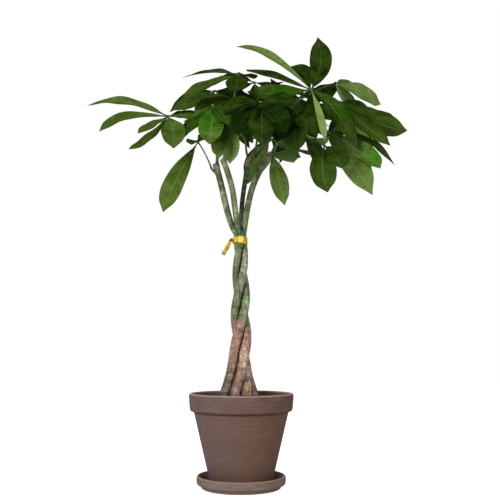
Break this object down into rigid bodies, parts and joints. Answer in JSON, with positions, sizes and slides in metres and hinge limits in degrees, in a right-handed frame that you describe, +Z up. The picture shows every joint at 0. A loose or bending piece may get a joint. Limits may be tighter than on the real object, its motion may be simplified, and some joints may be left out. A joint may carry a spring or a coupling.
{
  "type": "potted money tree",
  "caption": "A potted tree with slim stems twisted into one trunk, bound by a strap, and a wide crown of palmate glossy leaves, standing in a rimmed clay pot on a round saucer.",
  "frame": {"origin": "Centre of the saucer's underside, on the ground.", "axes": "+Z up along the trunk; the pictured side faces -Y; +X is to the right as seen there. Millimetres in the source, metres here."},
  "size_m": [0.5938, 0.476, 0.8273],
  "materials": {
    "saucer_clay": "unglazed clay, matt, a little lighter than the pot",
    "pot_clay": "unglazed brown-grey clay, matt, with faint thrown bands and pale streaks",
    "soil": "loose dark potting soil",
    "bark": "smooth bark, grey-green above and grey-brown with tan patches near the ground",
    "tie_plastic": "yellow plastic strap, slightly glossy",
    "leaf": "living leaf, glossy dark green above and paler olive below"
  },
  "bodies": {
    "root": {"saucer": "saucer_clay", "pot": "pot_clay", "soil": "soil", "stem_1": "bark", "stem_2": "bark", "stem_3": "bark", "tie": "tie_plastic", "leaf_01": "leaf", "leaf_02": "leaf", "leaf_03": "leaf", "leaf_04": "leaf", "leaf_05": "leaf", "leaf_06": "leaf", "leaf_07": "leaf", "leaf_08": "leaf", "leaf_09": "leaf", "leaf_10": "leaf", "leaf_11": "leaf", "leaf_12": "leaf", "leaf_13": "leaf", "leaf_14": "leaf", "leaf_15": "leaf", "leaf_16": "leaf", "leaf_17": "leaf", "leaf_18": "leaf", "leaf_19": "leaf", "leaf_20": "leaf", "leaf_21": "leaf", "leaf_22": "leaf"}
  },
  "joints": []
}
